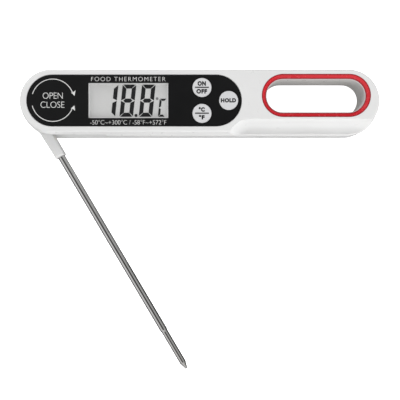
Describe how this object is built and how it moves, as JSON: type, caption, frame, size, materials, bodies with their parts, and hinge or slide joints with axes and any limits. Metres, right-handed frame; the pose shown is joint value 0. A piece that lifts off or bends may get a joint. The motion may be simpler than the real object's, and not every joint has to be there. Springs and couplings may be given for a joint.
{
  "type": "folding digital meat thermometer",
  "caption": "Folding food thermometer: steel probe on a pivoting arm, flat case with display and push buttons, hanging hole with a coloured insert and a coin-slot battery cover.",
  "frame": {"origin": "where the hinge axis meets the flat back of the case", "axes": "+X along the case from the hinge to the hanging hole, +Y up the display, +Z out of the face; the probe is part open at rest"},
  "size_m": [0.1591, 0.1333, 0.0183],
  "materials": {
    "white_plastic": "satin moulded ABS",
    "black_label": "printed film, satin",
    "clear_window": "clear acrylic",
    "lcd_glass": "grey reflective display",
    "frame_plastic": "plain moulding",
    "conductive_rubber": "striped silicone",
    "board_laminate": "green solder mask",
    "black_resin": "potted or moulded black",
    "zinc_steel": "zinc plated",
    "cell_steel": "nickel plated can",
    "contact_metal": "plated spring strip",
    "red_plastic": "gloss red insert",
    "magnet_metal": "nickel plated magnet",
    "lead_jacket": "grey silicone jacket",
    "black_rubber": "soft seal",
    "button_plastic": "light grey, fine texture",
    "probe_steel": "polished stainless tube",
    "collar_brass": "turned collar",
    "bead_glass": "sealed bead"
  },
  "bodies": {
    "case": {"front_shell": "white_plastic", "back_shell": "white_plastic", "face_label": "black_label", "display_window": "clear_window", "lcd_panel": "lcd_glass", "lcd_frame": "frame_plastic", "zebra_strip": "conductive_rubber", "circuit_board": "board_laminate", "controller_chip": "black_resin", "board_components": "black_resin", "board_screws": "zinc_steel", "tact_switches": "black_resin", "coin_cell": "cell_steel", "positive_contact": "contact_metal", "negative_contact": "contact_metal", "ring_insert": "red_plastic", "magnet": "magnet_metal", "case_screws": "zinc_steel", "case_leads": "lead_jacket", "friction_washer": "zinc_steel", "pivot_seals": "black_rubber"},
    "probe_arm": {"arm_front_half": "white_plastic", "arm_back_half": "white_plastic", "arm_screws": "zinc_steel", "probe_tube": "probe_steel", "probe_anchor": "collar_brass", "thermistor": "bead_glass", "arm_leads": "lead_jacket"},
    "on_off_key": {"on_off_button": "button_plastic", "on_off_plunger": "black_resin"},
    "unit_key": {"unit_button": "button_plastic", "unit_plunger": "black_resin"},
    "hold_key": {"hold_button": "button_plastic", "hold_plunger": "black_resin"},
    "cover": {"battery_cover": "white_plastic", "battery_seal": "black_rubber"}
  },
  "joints": [
    {"name": "probe_hinge", "type": "hinge", "parent": "case", "child": "probe_arm", "pos_m": [0, 0, 0.009], "axis": [0, 0, 1], "range_deg": [-120.6, 59.4]},
    {"name": "on_off_press", "type": "slide", "parent": "case", "child": "on_off_key", "axis": [0, 0, -1], "range_m": [0, 0.0004], "stiffness_N_per_m": 800},
    {"name": "unit_press", "type": "slide", "parent": "case", "child": "unit_key", "axis": [0, 0, -1], "range_m": [0, 0.0004], "stiffness_N_per_m": 800},
    {"name": "hold_press", "type": "slide", "parent": "case", "child": "hold_key", "axis": [0, 0, -1], "range_m": [0, 0.0004], "stiffness_N_per_m": 800},
    {"name": "cover_turn", "type": "hinge", "parent": "case", "child": "cover", "pos_m": [0.04, 0.001, 0.0008], "axis": [0, 0, 1], "range_deg": [0, 45]}
  ]
}
